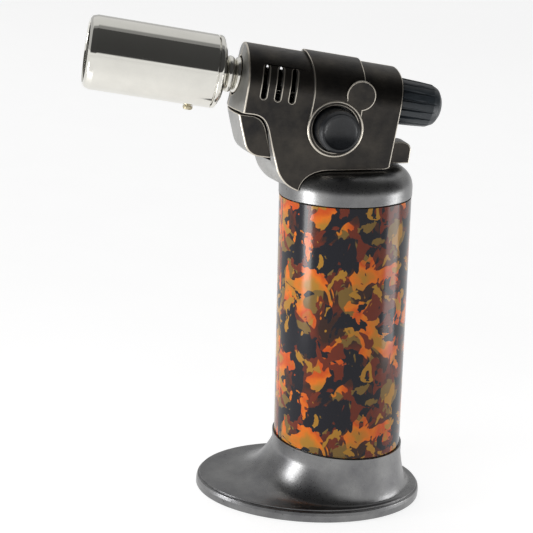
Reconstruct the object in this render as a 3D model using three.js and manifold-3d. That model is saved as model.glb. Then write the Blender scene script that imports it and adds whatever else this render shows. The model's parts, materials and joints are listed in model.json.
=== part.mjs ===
// A refillable table-top gas torch, in millimetres, +Z up.
// Origin: the centre of the flat underside of the foot.
// The burner points to -X, its ignition button faces -Y.
// Three frames are nested: the level foot, the tank that leans forward in it, and the head pitched up on top.
import * as THREE from "three";
import { mergeVertices } from "three/addons/utils/BufferGeometryUtils.js";
import Module from "manifold-3d";

const wasm = await Module();
wasm.setup();

// ---------- driving dimensions ----------
const GAP = 0.3; // working gap between pieces that touch
const WALL = 2.0; // wall of the cast head shells

const TANK_X = 9.4; // where the tank's axis meets the floor, behind the foot's centre
const TANK_LEAN = THREE.MathUtils.degToRad(4.5); // the tank leans towards the burner
const HEAD_HEIGHT = 132.0; // along the tank's axis, up to the burner's axis
const HEAD_PITCH = THREE.MathUtils.degToRad(9.3); // the burner's axis against the tank's square

const FOOT_HALF_LENGTH = 37.5;
const FOOT_HALF_WIDTH = 27.0;
const FOOT_RIM = 4.2; // height of the foot's edge
const FOOT_HOLLOW = 4.2; // how steeply the disc falls away from the cup
const CUP_TOP = 19.1; // level rim of the cup that holds the tank
const CUP_FILLET_TOP = 15.5;
const CUP_RADIUS = 21.4;
const PAD_THICKNESS = 1.2;
const WELL_RADIUS = 6.0; // the filling well under the tank

const TANK_RADIUS = 20.0;
const TANK_WALL = 1.6;
const TANK_BORE = TANK_RADIUS - TANK_WALL;
const TANK_BOTTOM = 6.3;
const TANK_FLOOR = 8.5;
const TANK_TOP = 100.0;
const SLEEVE_RADIUS = 20.75;
const SLEEVE_TOP = 100.4;

const COLLAR_RADIUS = 20.9;
const COLLAR_BOTTOM = SLEEVE_TOP + GAP;
const COLLAR_SHOULDER = 103.5; // where the straight side turns into the shoulder
const COLLAR_FLAT = 14.5; // radius of the flat top
const COLLAR_TOP = 110.0;

const HEAD_HALF_WIDTH = 12.0;
const HEAD_ARCH_Z = -1.8; // centre of the rounded top
const HEAD_FRONT = -33.4;
const HEAD_REAR = 13.8;
const FACE_LOW = -9.6; // lower end of the front face
const TOP_BULGE = 1.0; // the front face is crowned by this much at its top
const FACE_BULGE = 3.1; // and by this much at its lower end
const CHIN_BULGE = 4.4;
const BAND_HEIGHT = 0.8; // raised band over the middle of the head
const DOT_RADIUS = 4.5; // round boss beside the band
const SLOT_SITES = [-28.5, -24.2, -19.9];
const SLOT_RADIUS = 0.8;
const SLOT_HALF_LENGTH = 4.1; // between the centres of its round ends, halved

const TRIGGER_HALF_WIDTH = 9.6;
const TRIGGER_BULGE = 1.8;

const BUTTON_X = -5.4;
const BUTTON_Z = -9.9;
const BUTTON_RADIUS = 6.3;
const BUTTON_FACE = -19.5; // how far out the button's rim stands, along Y
const BUTTON_HOLE = 7.0;
const BUTTON_FLANGE = 8.0;
const BUTTON_RING = 8.6; // radius of the band's ring around the button
const IGNITER_RADIUS = 4.2;
const PLUNGER_RADIUS = 2.6;

const MIXER_RADIUS = 4.0;
const MIXER_BORE = 2.9;
const BEAD_RADIUS = 5.5;
const BEAD_PITCH = 2.7;
const FIRST_BEAD = -35.2;
const BURNER_RADIUS = 11.0;
const BURNER_BORE = 10.2;
const BURNER_REAR = -42.7;
const BURNER_MOUTH = -80.7;
const CAP_REAR = -40.0;
const TUBE_SCREW_X = -48.4;

const OUTLET_PORT = 111.2; // height of the outlet valve's side port
const PIPE_RADIUS = 1.1;
const NEEDLE_PORT = 5.8; // where the gas pipe enters the regulator
const VALVE_RADIUS = 3.6;
const KNOB_FRONT = 14.6;
const KNOB_END = 29.6;
const KNOB_RIBS = 16;

const SCREW_SITES = [[9.6, -8.4], [-16.6, -21.6], [-27.6, -7.3]]; // head frame X, Z
const BOSS_RADIUS = 2.0;

// ---------- materials ----------
function finish(color, roughness, metalness) {
  return new THREE.MeshStandardMaterial({ color, roughness, metalness });
}

const MATERIALS = {
  castNickel: finish(0x8a8a8a, 0.45, 1.0),
  gunmetal: finish(0x38383c, 0.4, 0.9),
  chrome: finish(0xe6e4dc, 0.06, 1.0),
  print: finish(0xb0602a, 0.25, 0.0),
  black: finish(0x16191c, 0.5, 0.0),
  knob: finish(0x303a40, 0.5, 0.0),
  rubber: finish(0x1c1c1c, 0.85, 0.0),
  brass: finish(0xb8964a, 0.35, 1.0),
  steel: finish(0x9a9a9a, 0.35, 1.0),
  alloy: finish(0xb8babc, 0.5, 1.0),
  resin: finish(0xd8d2c0, 0.5, 0.0),
  ceramic: finish(0xece8de, 0.6, 0.0),
};

// ---------- solids ----------
// Keeps positions only, joins shared corners, drops empty triangles and turns the faces outwards.
function clean(geometry) {
  geometry.deleteAttribute("normal");
  geometry.deleteAttribute("uv");
  const merged = mergeVertices(geometry, 1e-4);
  const corners = merged.getAttribute("position");
  const old = merged.getIndex().array;
  const kept = [];
  let volume = 0;
  const [a, b, c] = [new THREE.Vector3(), new THREE.Vector3(), new THREE.Vector3()];
  for (let i = 0; i < old.length; i += 3) {
    const [p, q, r] = [old[i], old[i + 1], old[i + 2]];
    if (p === q || q === r || r === p) continue;
    kept.push(p, q, r);
    a.fromBufferAttribute(corners, p);
    b.fromBufferAttribute(corners, q);
    c.fromBufferAttribute(corners, r);
    volume += a.dot(b.cross(c));
  }
  if (volume < 0) kept.reverse();
  merged.setIndex(kept);
  return merged;
}

function toManifold(geometry) {
  const tidy = clean(geometry);
  const vertProperties = new Float32Array(tidy.getAttribute("position").array);
  const triVerts = new Uint32Array(tidy.getIndex().array);
  return new wasm.Manifold(new wasm.Mesh({ numProp: 3, vertProperties, triVerts }));
}

function toGeometry(manifold) {
  const mesh = manifold.getMesh();
  const geometry = new THREE.BufferGeometry();
  geometry.setAttribute("position", new THREE.BufferAttribute(mesh.vertProperties, 3));
  geometry.setIndex(new THREE.BufferAttribute(mesh.triVerts, 1));
  return geometry;
}

// Cuts the tools away from a geometry.
function cut(geometry, ...tools) {
  const result = tools.reduce((body, tool) => body.subtract(toManifold(tool)), toManifold(geometry));
  return toGeometry(result);
}

function join(...geometries) {
  const [first, ...others] = geometries.map(toManifold);
  return toGeometry(others.reduce((body, other) => body.add(other), first));
}

function common(first, second) {
  return toGeometry(toManifold(first).intersect(toManifold(second)));
}

// A profile of [radius, height] points turned about Z.
function turned(profile, segments = 32) {
  const points = profile.map(([radius, height]) => new THREE.Vector2(radius, height));
  return new THREE.LatheGeometry(points, segments).rotateX(Math.PI / 2);
}

// The same about X, for pieces on the burner's axis: [radius, x] points.
function turnedX(profile, segments = 32) {
  return turned(profile, segments).rotateY(Math.PI / 2);
}

// The same about Y, for pieces on the button's axis: [radius, y] points.
function turnedY(profile, segments = 32) {
  return turned(profile, segments).rotateX(-Math.PI / 2);
}

// A ring of rectangular section, closed on itself.
const ringProfile = (inner, outer, low, high) =>
  [[inner, low], [outer, low], [outer, high], [inner, high], [inner, low]];

const rodProfile = (radius, low, high) => [[0, low], [radius, low], [radius, high], [0, high]];

function box(x0, x1, y0, y1, z0, z1) {
  const shape = new THREE.BoxGeometry(x1 - x0, y1 - y0, z1 - z0);
  return shape.translate((x0 + x1) / 2, (y0 + y1) / 2, (z0 + z1) / 2);
}

// Points [x, z] joined by straight lines and pulled along Y from y0 to y1.
function plate(outline, y0, y1) {
  const shape = new THREE.Shape(outline.map(([x, z]) => new THREE.Vector2(x, z)));
  const solid = new THREE.ExtrudeGeometry(shape, { depth: y1 - y0, bevelEnabled: false });
  return solid.rotateX(Math.PI / 2).translate(0, y1, 0);
}

// Joins rings of equal length into a closed body. flat picks the two coordinates that cap a ring.
function loft(rings, flat) {
  const count = rings[0].length;
  const corners = rings.flat();
  const index = [];
  for (let ring = 0; ring + 1 < rings.length; ring += 1) {
    for (let i = 0; i < count; i += 1) {
      const a = ring * count + i;
      const b = ring * count + ((i + 1) % count);
      index.push(a, b, a + count, b, b + count, a + count);
    }
  }
  for (const [ring, turn] of [[0, 1], [rings.length - 1, -1]]) {
    const contour = rings[ring].map(flat);
    for (const [p, q, r] of THREE.ShapeUtils.triangulateShape(contour, [])) {
      const face = [p, q, r].map((corner) => corner + ring * count);
      index.push(...(capTurns(contour, turn) ? face : face.reverse()));
    }
  }
  const geometry = new THREE.BufferGeometry().setFromPoints(corners);
  geometry.setIndex(index);
  return geometry;
}

// The triangulation follows the contour's own sense, so only the two caps differ.
function capTurns(contour, turn) {
  return (THREE.ShapeUtils.area(contour) > 0 ? 1 : -1) * turn < 0;
}

// A round bar bent along a curve.
function bentRod(curve, radius, sides, steps) {
  const circle = new THREE.Path().absarc(0, 0, radius, 0, 2 * Math.PI).getSpacedPoints(sides).slice(0, sides);
  const settings = { steps, extrudePath: curve, bevelEnabled: false };
  return new THREE.ExtrudeGeometry(new THREE.Shape(circle), settings);
}

const spline = (points) => new THREE.CatmullRomCurve3(points.map((point) => new THREE.Vector3(...point)));

class Helix extends THREE.Curve {
  constructor(radius, low, high, turns) {
    super();
    Object.assign(this, { radius, low, high, turns });
  }

  getPoint(t, target = new THREE.Vector3()) {
    const angle = 2 * Math.PI * this.turns * t;
    const height = THREE.MathUtils.lerp(this.low, this.high, t);
    return target.set(this.radius * Math.cos(angle), this.radius * Math.sin(angle), height);
  }
}

// A coil spring about Z; its wire's outside stays within low and high.
function coilSpring(radius, wire, low, high, turns) {
  const helix = new Helix(radius, low + 1.3 * wire, high - 1.3 * wire, turns);
  return bentRod(helix, wire, 4, turns * 8);
}

// ---------- groups ----------
const torch = new THREE.Group();
const body = new THREE.Group(); // Z along the tank's axis, from the floor
body.position.set(TANK_X, 0, 0);
body.rotation.y = -TANK_LEAN;
torch.add(body);
const head = new THREE.Group(); // X along the burner's axis, backwards
head.position.set(0, 0, HEAD_HEIGHT);
head.rotation.y = HEAD_PITCH;
body.add(head);
torch.updateMatrixWorld(true);

const headFromBody = head.matrix.clone().invert();
const bodyFromLevel = body.matrix.clone().invert();

function add(group, name, material, geometry) {
  const mesh = new THREE.Mesh(clean(geometry), material);
  mesh.name = name;
  group.add(mesh);
}

// ---------- foot ----------
function footRing(outwards, z) {
  const ring = [];
  const cupX = TANK_X - z * Math.tan(TANK_LEAN);
  const sides = 44;
  for (let i = 0; i < sides; i += 1) {
    const angle = (2 * Math.PI * i) / sides;
    const cup = new THREE.Vector2(cupX + CUP_RADIUS * Math.cos(angle), CUP_RADIUS * Math.sin(angle));
    const rim = new THREE.Vector2(FOOT_HALF_LENGTH * Math.cos(angle), FOOT_HALF_WIDTH * Math.sin(angle));
    const spot = cup.lerp(rim, outwards);
    ring.push(new THREE.Vector3(spot.x, spot.y, z));
  }
  return ring;
}

// The disc falls away from the cup in a hollow curve that ends at the thin edge.
function footGeometry() {
  const rings = [footRing(0, CUP_TOP), footRing(0, CUP_FILLET_TOP)];
  for (const outwards of [0.03, 0.1, 0.2, 0.34, 0.52, 0.76]) {
    const drop = (1 - outwards) ** FOOT_HOLLOW;
    rings.push(footRing(outwards, FOOT_RIM + (CUP_FILLET_TOP - FOOT_RIM) * drop));
  }
  rings.push(footRing(0.985, FOOT_RIM), footRing(1, FOOT_RIM - 0.8), footRing(1, 0.6), footRing(0.98, 0));
  const outside = loft(rings, (point) => new THREE.Vector2(point.x, point.y));
  const socket = turned(rodProfile(TANK_RADIUS + GAP, TANK_BOTTOM - GAP, 40), 40).applyMatrix4(body.matrix);
  const well = turned(rodProfile(WELL_RADIUS, -5, 12), 24).applyMatrix4(body.matrix);
  return cut(outside, socket, well, padShape(GAP, PAD_THICKNESS + GAP));
}

function padShape(extra, height) {
  const inset = 4.5 - extra;
  const outline = new THREE.Shape();
  outline.absellipse(0, 0, FOOT_HALF_LENGTH - inset, FOOT_HALF_WIDTH - inset, 0, 2 * Math.PI);
  const base = new THREE.ExtrudeGeometry(outline, { depth: height, bevelEnabled: false, curveSegments: 22 });
  return extra > 0 ? base.translate(0, 0, -0.01) : base;
}

function footPad() {
  const well = turned(rodProfile(WELL_RADIUS + GAP, -1, 4), 24).translate(TANK_X, 0, 0);
  return cut(padShape(0, PAD_THICKNESS), well);
}

add(torch, "foot", MATERIALS.castNickel, footGeometry());
add(torch, "foot_pad", MATERIALS.rubber, footPad());

// ---------- tank, sleeve and collar ----------
function fuelTank() {
  const outline = [
    [4.9, TANK_BOTTOM], [TANK_RADIUS - 1, TANK_BOTTOM], [TANK_RADIUS, TANK_BOTTOM + 1],
    [TANK_RADIUS, TANK_TOP], [TANK_BORE, TANK_TOP], [TANK_BORE, TANK_FLOOR],
    [4.9, TANK_FLOOR], [4.9, TANK_BOTTOM],
  ];
  return turned(outline, 40);
}

function tankLid() {
  const plug = TANK_BORE - GAP;
  const outline = [
    [4.3, 96.6], [plug, 96.6], [plug, 97.4], [plug - 1.4, 97.4], [plug - 1.4, 98.9], [plug, 98.9],
    [plug, TANK_TOP + GAP], [18.4, TANK_TOP + GAP], [18.4, 103.8], [4.3, 103.8], [4.3, 96.6],
  ];
  return turned(outline, 28);
}

// The sleeve's lower end is trimmed level, where it meets the rim of the cup.
function printedSleeve() {
  const tube = turned(ringProfile(TANK_RADIUS + GAP, SLEEVE_RADIUS, 10, SLEEVE_TOP), 40);
  const below = box(-60, 60, -60, 60, -20, CUP_TOP + GAP).applyMatrix4(bodyFromLevel);
  return cut(tube, below);
}

function collarOutside(extra) {
  const points = [[0, COLLAR_BOTTOM - extra], [COLLAR_RADIUS + extra, COLLAR_BOTTOM - extra]];
  const steps = 5;
  for (let i = 0; i <= steps; i += 1) {
    const angle = (Math.PI / 2) * (i / steps);
    const radius = COLLAR_FLAT + (COLLAR_RADIUS + extra - COLLAR_FLAT) * Math.cos(angle);
    points.push([radius, COLLAR_SHOULDER + (COLLAR_TOP + extra - COLLAR_SHOULDER) * Math.sin(angle)]);
  }
  points.push([0, COLLAR_TOP + extra]);
  return turned(points, 40);
}

function collar() {
  const inside = turned(
    [[0, 90], [19.2, 90], [19.2, 103.2], [17.6, 106.0], [14.5, 107.8], [0, 107.8]],
    40,
  );
  return cut(collarOutside(0), inside, turned(rodProfile(7.5, 90, 120), 24));
}

add(body, "fuel_tank", MATERIALS.alloy, fuelTank());
add(body, "tank_lid", MATERIALS.resin, tankLid());
add(body, "lid_seal", MATERIALS.rubber, turned(ringProfile(17.0, 18.1, 97.7, 98.6), 28));
add(body, "printed_sleeve", MATERIALS.print, printedSleeve());
add(body, "collar", MATERIALS.castNickel, collar());

// ---------- filling valve, under the tank ----------
const FILL_BODY = [
  [1.9, 5.2], [4.2, 5.2], [4.6, 5.6], [4.6, 9.9], [6.4, 9.9], [6.4, 11.4], [4.6, 11.4], [4.6, 17],
  [2.0, 17], [2.0, 15.4], [3.3, 15.4], [3.3, 7.2], [1.9, 7.2], [1.9, 5.2],
];
const FILL_STEM = [[0, 4.6], [1.6, 4.6], [1.6, 7.5], [2.9, 7.5], [2.9, 8.7], [1.5, 8.7], [1.5, 13], [0, 13]];

add(body, "fill_valve_body", MATERIALS.brass, turned(FILL_BODY, 24));
add(body, "fill_valve_stem", MATERIALS.brass, turned(FILL_STEM, 16));
add(body, "fill_valve_spring", MATERIALS.steel, coilSpring(2.35, 0.3, 9.0, 15.1, 5));
add(body, "fill_valve_seal", MATERIALS.rubber, turned(ringProfile(4.9, 6.3, 8.8, 9.6), 24));

// ---------- outlet valve, through the tank's lid ----------
const OUTLET_BODY = [
  [1.6, 92.5], [4.0, 92.5], [4.0, 104.3], [6.6, 104.3], [6.6, 106.4], [4.6, 106.4], [4.6, 112.4],
  [1.9, 112.4], [1.9, 103.6], [3.1, 103.6], [3.1, 95.0], [1.6, 95.0], [1.6, 92.5],
];
const OUTLET_STEM = [
  [0, 98.2], [1.3, 98.2], [1.3, 101.4], [2.8, 101.4], [2.8, 102.9], [1.6, 102.9],
  [1.6, 112.9], [0, 113.5],
];

// The side port that feeds the gas pipe is drilled through the wall of the valve's tower.
function outletBody() {
  const port = turnedY(rodProfile(0.7, 0, 9), 10).translate(0, 0, OUTLET_PORT);
  return cut(turned(OUTLET_BODY, 24), port);
}

add(body, "outlet_valve_body", MATERIALS.brass, outletBody());
add(body, "outlet_stem", MATERIALS.brass, turned(OUTLET_STEM, 16));
add(body, "outlet_spring", MATERIALS.steel, coilSpring(2.2, 0.3, 95.3, 101.1, 5));
add(body, "pickup_tube", MATERIALS.resin, turned(ringProfile(0.9, 1.5, 40, 92.2), 14));

// ---------- head shells ----------
// The arched section of the head, grown by extra and pulled along the burner's axis.
function arch(extra, x0, x1) {
  const half = HEAD_HALF_WIDTH + extra;
  const shape = new THREE.Shape();
  shape.moveTo(-half, -40);
  shape.lineTo(half, -40);
  shape.lineTo(half, HEAD_ARCH_Z);
  shape.absarc(0, HEAD_ARCH_Z, half, 0, Math.PI, false);
  shape.lineTo(-half, -40);
  const solid = new THREE.ExtrudeGeometry(shape, { depth: x1 - x0, bevelEnabled: false, curveSegments: 10 });
  const turn = new THREE.Matrix4().makeBasis(
    new THREE.Vector3(0, 1, 0), new THREE.Vector3(0, 0, 1), new THREE.Vector3(1, 0, 0),
  );
  return solid.applyMatrix4(turn).translate(x0, 0, 0);
}

// The side view of the head: front face, trigger notch, chin, tongue over the collar, rear and top.
function headOutline() {
  const side = new THREE.Shape();
  side.moveTo(HEAD_FRONT, 12.5);
  side.lineTo(HEAD_FRONT, FACE_LOW);
  side.lineTo(-30.4, -9.5);
  side.bezierCurveTo(-27.4, -9.5, -26.1, -11.2, -24.9, -14.2);
  side.lineTo(-20.9, -23.4);
  side.quadraticCurveTo(-18.6, -29.4, -12.2, -30.4);
  side.lineTo(-10.9, -30.2);
  side.lineTo(HEAD_REAR, -19.3);
  side.lineTo(HEAD_REAR, 6.5);
  side.quadraticCurveTo(HEAD_REAR - 0.3, 11.0, HEAD_REAR - 4.5, 12.5);
  return side.getPoints(5).slice(0, -1);
}

// How far forwards a point of the side view moves at mid-width.
function crown(point) {
  if (point.x > -12) return 0;
  if (point.y > -10) {
    const bulge = point.y < 0 ? FACE_BULGE : TOP_BULGE;
    return bulge * THREE.MathUtils.smoothstep(-point.x, 29, 33);
  }
  const lower = THREE.MathUtils.smoothstep(-point.y, 17, 23);
  return CHIN_BULGE * lower * THREE.MathUtils.smoothstep(-point.x, 12, 17);
}

function headOutside() {
  const outline = headOutline();
  const rings = [];
  for (const share of [-1.1, -1, -0.85, -0.6, -0.3, 0, 0.3, 0.6, 0.85, 1, 1.1]) {
    const bow = Math.max(0, 1 - share * share);
    const y = share * HEAD_HALF_WIDTH;
    rings.push(outline.map((point) => new THREE.Vector3(point.x - crown(point) * bow, y, point.y)));
  }
  const block = loft(rings, (point) => new THREE.Vector2(point.x, point.z));
  return common(block, arch(0, -40, 20));
}

// The side view of the band: its front edge sweeps down into the ring around the button.
const BAND_OUTLINE = [
  [-17.4, 14], [-16.8, 11.3], [-14.9, 8.1], [-14.1, 4.3], [-13.7, -1.3], [-14.0, BUTTON_Z],
  [2.0, BUTTON_Z], [1.8, -3.6], [1.6, 5.9], [0.9, 10.3], [0.7, 14],
];

// The band stands proud of the sides and top, and spreads into the ring and a round boss.
function headBand() {
  const strap = common(arch(BAND_HEIGHT, -20, 8), plate(BAND_OUTLINE, -20, 20));
  const reach = HEAD_HALF_WIDTH + BAND_HEIGHT;
  const ring = turnedY(rodProfile(BUTTON_RING, -reach, reach), 32).translate(BUTTON_X, 0, BUTTON_Z);
  const dot = turnedY(rodProfile(DOT_RADIUS, -reach, reach), 20).translate(0.6, 0, 1.0);
  return join(strap, ring, dot);
}

function headInside() {
  const outline = [
    [-31.2, 12], [HEAD_REAR - WALL, 12], [HEAD_REAR - WALL, -26], [-10.5, -33], [-14, -28.2],
    [-17.4, -26.2], [-19.0, -22.6], [-22.5, -14.5], [-24.5, -10.6], [-31.2, -7.8],
  ];
  return common(plate(outline, -15, 15), arch(-WALL, -40, 20));
}

// Slots, holes and windows that go right through the shells' walls.
function headCutters() {
  const cutters = [];
  for (const x of SLOT_SITES) {
    const slot = new THREE.Shape();
    slot.absarc(x, 0.5 + SLOT_HALF_LENGTH, SLOT_RADIUS, 0, Math.PI, false);
    slot.absarc(x, 0.5 - SLOT_HALF_LENGTH, SLOT_RADIUS, Math.PI, 2 * Math.PI, false);
    const bar = new THREE.ExtrudeGeometry(slot, { depth: 30, bevelEnabled: false, curveSegments: 4 });
    cutters.push(bar.rotateX(Math.PI / 2).translate(0, 15, 0));
  }
  const inner = HEAD_HALF_WIDTH - WALL;
  cutters.push(
    turnedX(rodProfile(6.0, -40, -32.4), 28),
    turnedX(rodProfile(MIXER_RADIUS + GAP, -34, -28), 24),
    turnedX(rodProfile(4.4, 8, 20), 24),
    box(-40, -17.5, -inner, inner, -22.5, -9.5),
    box(-10, 30, -3.8, 3.8, 105, 118.4).applyMatrix4(headFromBody),
    collarOutside(GAP).applyMatrix4(headFromBody),
    turned(rodProfile(9, 90, 112), 24).applyMatrix4(headFromBody),
  );
  return cutters;
}

// side is -1 for the left shell and 1 for the right one.
function headShell(side) {
  const half = side < 0 ? box(-60, 60, -30, -GAP / 2, -60, 60) : box(-60, 60, GAP / 2, 30, -60, 60);
  const skin = cut(join(headOutside(), headBand()), headInside(), ...headCutters());
  const inner = HEAD_HALF_WIDTH - WALL;
  const fittings = [];
  for (const [x, z] of SCREW_SITES) {
    fittings.push(turnedY(rodProfile(BOSS_RADIUS, -inner - 0.5, inner + 0.5), 16).translate(x, 0, z));
  }
  fittings.push(box(-15.1, -14.1, -inner - 0.5, inner + 0.5, -15.8, -10.4));
  const pieces = common(join(skin, ...fittings), half);
  const bores = [];
  for (const [x, z] of SCREW_SITES) {
    bores.push(turnedY(rodProfile(1.5, -8.5, 20), 12).translate(x, 0, z));
    bores.push(turnedY(rodProfile(2.9, HEAD_HALF_WIDTH - 1.4, 20), 16).translate(x, 0, z));
  }
  const hole = turnedY(rodProfile(BUTTON_HOLE, -20, -6), 32).translate(BUTTON_X, 0, BUTTON_Z);
  return side < 0 ? cut(pieces, hole, ...bores) : cut(pieces, ...bores);
}

const SCREW = [
  [0, -7.9], [1.2, -7.9], [1.2, HEAD_HALF_WIDTH - 1.1], [2.6, HEAD_HALF_WIDTH - 1.1],
  [2.6, HEAD_HALF_WIDTH + 0.1], [0, HEAD_HALF_WIDTH + 0.4],
];

add(head, "head_shell_left", MATERIALS.gunmetal, headShell(-1));
add(head, "head_shell_right", MATERIALS.gunmetal, headShell(1));
SCREW_SITES.forEach(([x, z], i) => {
  add(head, `head_screw_${i + 1}`, MATERIALS.steel, turnedY(SCREW, 16).translate(x, 0, z));
});

// ---------- trigger ----------
// A block with a crowned front between the shells. Its flat rod ends in a wedge for the outlet valve's stem.
function trigger() {
  const side = new THREE.Shape();
  side.moveTo(-34.4, -10.1);
  side.lineTo(-33.0, -13.9);
  side.lineTo(-31.1, -18.6);
  side.quadraticCurveTo(-29.8, -21.8, -26.3, -22.0);
  side.lineTo(-22.1, -21.9);
  side.lineTo(-25.1, -14.4);
  side.quadraticCurveTo(-26.7, -10.1, -30.2, -10.0);
  const outline = side.getPoints(5);
  const rings = [-1, -0.7, -0.35, 0, 0.35, 0.7, 1].map((share) => outline.map((point) => {
    const bulge = TRIGGER_BULGE * (1 - share * share) * THREE.MathUtils.smoothstep(-point.x, 26, 30);
    return new THREE.Vector3(point.x - bulge, share * TRIGGER_HALF_WIDTH, point.y);
  }));
  const block = loft(rings, (point) => new THREE.Vector2(point.x, point.z));
  const rod = [[-26, -19.6], [-3.0, -19.6], [5.0, -16.9], [5.0, -16.0], [-26, -16.0]];
  return join(block, plate(rod, -1.8, 1.8));
}

function triggerSpring() {
  return coilSpring(1.6, 0.3, -24.7, -15.4, 6).rotateY(Math.PI / 2).translate(0, 0, -13.2);
}

add(head, "trigger", MATERIALS.gunmetal, trigger());
add(head, "trigger_spring", MATERIALS.steel, triggerSpring());

// ---------- ignition button and igniter ----------
const BUTTON = [
  [0, BUTTON_FACE + 1.4], [3.0, BUTTON_FACE + 1.0], [4.9, BUTTON_FACE], [5.5, BUTTON_FACE],
  [BUTTON_RADIUS, BUTTON_FACE + 1.2], [BUTTON_RADIUS, -9.6], [BUTTON_FLANGE, -9.6], [BUTTON_FLANGE, -8.3],
  [5.0, -8.3], [5.0, BUTTON_FACE + 3.0], [0, BUTTON_FACE + 3.0],
];
const IGNITER = [
  [0, 9.6], [IGNITER_RADIUS, 9.6], [IGNITER_RADIUS, 3.6], [5.9, 3.6], [5.9, 2.3], [IGNITER_RADIUS, 2.3],
  [IGNITER_RADIUS, -10.5], [PLUNGER_RADIUS + GAP, -10.5], [PLUNGER_RADIUS + GAP, -2.0], [0, -2.0],
];

add(head, "ignition_button", MATERIALS.black, turnedY(BUTTON, 28).translate(BUTTON_X, 0, BUTTON_Z));
add(head, "igniter_body", MATERIALS.resin, turnedY(IGNITER, 20).translate(BUTTON_X, 0, BUTTON_Z));
add(head, "igniter_plunger", MATERIALS.black,
  turnedY(rodProfile(PLUNGER_RADIUS, BUTTON_FACE + 3.3, -7.6), 16).translate(BUTTON_X, 0, BUTTON_Z));
add(head, "button_spring", MATERIALS.steel,
  coilSpring(5.35, 0.35, -2.0, 8.0, 5).rotateX(Math.PI / 2).translate(BUTTON_X, 0, BUTTON_Z));
const LEAD_ROUTE = [
  [-10.2, 7.4, -9.9], [-12.6, 7.2, -8.6], [-15.4, 6.2, -5.6], [-18.4, 5.0, -5.0], [-21.2, 2.6, -5.4],
  [-22.6, 0.6, -4.6], [-23.0, 0, -2.6], [-23.6, 0, -0.4],
];
add(head, "ignition_lead", MATERIALS.black, bentRod(spline(LEAD_ROUTE), 0.6, 7, 22));

// ---------- gas regulator and knob, behind the burner on its axis ----------
function needleValve() {
  const outline = [
    [0, -8.6], [2.2, -8.6], [2.2, -7.0], [VALVE_RADIUS, -7.0], [VALVE_RADIUS, 11.4], [2.9, 11.4],
    [2.9, 7.4], [1.9, 7.4], [1.9, 1.5], [0, 1.5],
  ];
  const passage = turnedX(rodProfile(0.6, -10, 3), 10);
  const port = turnedY(rodProfile(0.7, 0, 8), 10).translate(NEEDLE_PORT, 0, 0);
  return cut(turnedX(outline, 24), passage, port);
}

// A ribbed cap with a domed end: a slightly tapered turning, fluted around its rim.
function flowKnob() {
  const outline = [
    [0, KNOB_FRONT], [6.6, KNOB_FRONT], [7.2, KNOB_FRONT + 0.8], [6.6, 25.6], [5.6, 27.8],
    [3.4, 29.2], [0, KNOB_END],
  ];
  const section = new THREE.Shape();
  for (let i = 0; i < KNOB_RIBS * 4; i += 1) {
    const angle = (2 * Math.PI * i) / (KNOB_RIBS * 4);
    const radius = i % 4 < 2 ? 7.3 : 6.3;
    section[i === 0 ? "moveTo" : "lineTo"](radius * Math.cos(angle), radius * Math.sin(angle));
  }
  const fluted = new THREE.ExtrudeGeometry(section, { depth: 20, bevelEnabled: false });
  const ribs = fluted.rotateY(Math.PI / 2).translate(KNOB_FRONT - 1, 0, 0);
  const bore = turnedX(rodProfile(2.1, KNOB_FRONT - 1, 23), 16);
  return cut(common(turnedX(outline, 32), ribs), bore);
}

const SPINDLE = [
  [0, 2.4], [0.4, 2.6], [1.6, 5.2], [1.6, KNOB_FRONT - GAP], [1.8, KNOB_FRONT], [1.8, 22.6], [0, 22.6],
];
const PIPE_ROUTE = [
  [3.4, 4.9, -20.5], [3.5, 6.2, -20.3], [3.8, 7.0, -18.6], [4.5, 7.2, -14.0], [5.2, 7.2, -8.0],
  [5.6, 7.0, -3.0], [NEEDLE_PORT, 6.0, -0.5], [NEEDLE_PORT, 3.95, 0],
];

add(head, "needle_valve_body", MATERIALS.brass, needleValve());
add(head, "valve_spindle", MATERIALS.brass, turnedX(SPINDLE, 16));
add(head, "spindle_seal", MATERIALS.rubber, turnedX(ringProfile(1.9, 2.6, 7.8, 9.2), 16));
add(head, "flow_knob", MATERIALS.knob, flowKnob());
add(head, "gas_pipe", MATERIALS.brass, bentRod(spline(PIPE_ROUTE), PIPE_RADIUS, 8, 14));

// ---------- mixer tube and burner ----------
const JET = [[0.35, -14.0], [1.4, -14.0], [2.6, -12.0], [2.6, -8.9], [0.35, -8.9], [0.35, -14.0]];

// A chrome tube with rounded beads between head and burner, and two windows that let air in.
function mixerTube() {
  const outline = [[MIXER_BORE, -14.6], [MIXER_RADIUS, -14.6], [MIXER_RADIUS, -33.8]];
  for (let bead = 0; bead < 2; bead += 1) {
    const middle = FIRST_BEAD - bead * BEAD_PITCH;
    for (let i = 0; i <= 4; i += 1) {
      const angle = Math.PI * (i / 4);
      const radius = MIXER_RADIUS + 0.2 + (BEAD_RADIUS - MIXER_RADIUS - 0.2) * Math.sin(angle);
      outline.push([radius, middle + (BEAD_PITCH / 2 - 0.05) * Math.cos(angle)]);
    }
  }
  outline.push([MIXER_RADIUS, -39.6], [MIXER_RADIUS, -61.0], [MIXER_BORE, -61.0], [MIXER_BORE, -14.6]);
  return cut(turnedX(outline, 20), box(-27, -21.5, -1.6, 1.6, -8, 8));
}

function burnerCap() {
  const outline = [
    [MIXER_RADIUS + GAP, CAP_REAR], [8.6, CAP_REAR], [10.2, CAP_REAR - 0.5], [10.9, CAP_REAR - 1.4],
    [BURNER_RADIUS, BURNER_REAR + 0.4], [BURNER_BORE - GAP, BURNER_REAR + 0.4], [BURNER_BORE - GAP, -52],
    [8.7, -52], [8.7, -43.6], [MIXER_RADIUS + GAP, -43.6], [MIXER_RADIUS + GAP, CAP_REAR],
  ];
  return cut(turnedX(outline, 32), tubeScrewHole(12));
}

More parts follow.
